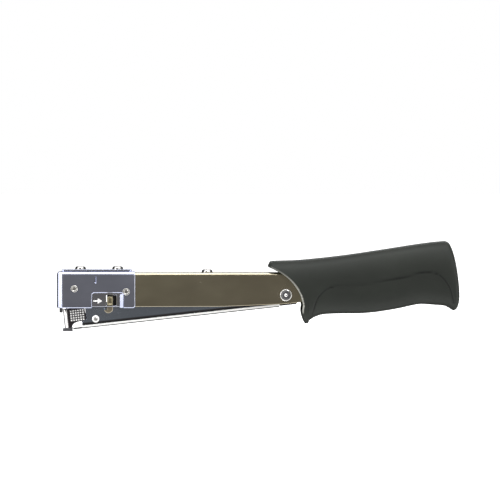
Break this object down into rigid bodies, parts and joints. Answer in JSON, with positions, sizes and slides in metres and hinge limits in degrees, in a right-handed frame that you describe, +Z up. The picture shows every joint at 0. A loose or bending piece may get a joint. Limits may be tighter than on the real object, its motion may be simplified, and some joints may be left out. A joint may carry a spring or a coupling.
{
  "type": "hammer tacker",
  "caption": "Hammer tacker with a plated folded-steel body, a striking head over a hinged sprung magazine with a knurled pull-out nose, and a dark rubber grip.",
  "frame": {"origin": "centre of the tool's outline in plan, on the plane of the struck surface, under the strike foot", "axes": "+X along the tool from the nose to the grip, +Y across it, +Z up, away from the struck surface"},
  "size_m": [0.322, 0.034, 0.0714],
  "materials": {
    "frame_plate": "nickel-plated folded steel, bright, faint grain along its length",
    "head_plate": "nickel-plated folded steel, bright, rounded edges",
    "magazine_plate": "nickel-plated folded steel",
    "rail_plate": "bright plated steel",
    "nose_steel": "plated steel with knurled cheeks",
    "rivet_nickel": "polished nickel plate",
    "tool_steel": "hardened steel, ground",
    "spring_steel": "blued spring steel",
    "latch_brass": "brass-coloured passivated steel",
    "bush_brass": "plain brass",
    "guide_plastic": "black moulded plastic",
    "core_plastic": "dark moulded plastic",
    "grip_rubber": "dark green-grey moulded rubber, fine matt grain"
  },
  "bodies": {
    "frame": {"frame_channel": "frame_plate", "head_shell": "head_plate", "striking_plate": "head_plate", "head_rivets": "rivet_nickel", "head_side_rivets": "rivet_nickel", "front_guide": "guide_plastic", "driver_block": "tool_steel", "driver_blade": "tool_steel", "spring_rivet": "rivet_nickel", "return_leaf_spring": "spring_steel", "pivot_rivet": "rivet_nickel", "pivot_washers": "rivet_nickel", "handle_core": "core_plastic", "tang_rivets": "rivet_nickel", "grip": "grip_rubber"},
    "latch_left": {"latch_left": "latch_brass", "latch_spring_left": "spring_steel"},
    "latch_right": {"latch_right": "latch_brass", "latch_spring_right": "spring_steel"},
    "magazine": {"magazine_channel": "magazine_plate", "magazine_bushes": "bush_brass", "magazine_side_rivets": "rivet_nickel", "rod_bracket": "tool_steel", "end_block": "core_plastic", "pusher_rod": "spring_steel", "pusher_spring": "spring_steel"},
    "pusher": {"pusher": "tool_steel"},
    "pull_out_unit": {"nose_housing": "nose_steel", "strike_foot": "tool_steel", "bottom_rail": "rail_plate", "staple_rail": "rail_plate", "rail_rivets": "rivet_nickel"}
  },
  "joints": [
    {"name": "magazine_swing", "type": "hinge", "parent": "frame", "child": "magazine", "pos_m": [0.0216, 0, 0.0286], "axis": [0, 1, 0], "range_deg": [0, 5.5], "stiffness_Nm_per_rad": 9, "springref_deg": -5.16, "deforming": ["return_leaf_spring"]},
    {"name": "unit_slide", "type": "slide", "parent": "magazine", "child": "pull_out_unit", "axis": [0.9943, 0, 0.107], "range_m": [-0.1, 0]},
    {"name": "pusher_slide", "type": "slide", "parent": "magazine", "child": "pusher", "axis": [0.9943, 0, 0.107], "range_m": [0, 0.094], "stiffness_N_per_m": 60, "springref_m": -0.05, "deforming": ["pusher_spring"]},
    {"name": "latch_left_slide", "type": "slide", "parent": "frame", "child": "latch_left", "axis": [1, 0, 0], "range_m": [0, 0.0026], "stiffness_N_per_m": 800, "springref_m": -0.003, "deforming": ["latch_spring_left"]},
    {"name": "latch_right_slide", "type": "slide", "parent": "frame", "child": "latch_right", "axis": [1, 0, 0], "range_m": [0, 0.0026], "stiffness_N_per_m": 800, "springref_m": -0.003, "deforming": ["latch_spring_right"]}
  ]
}
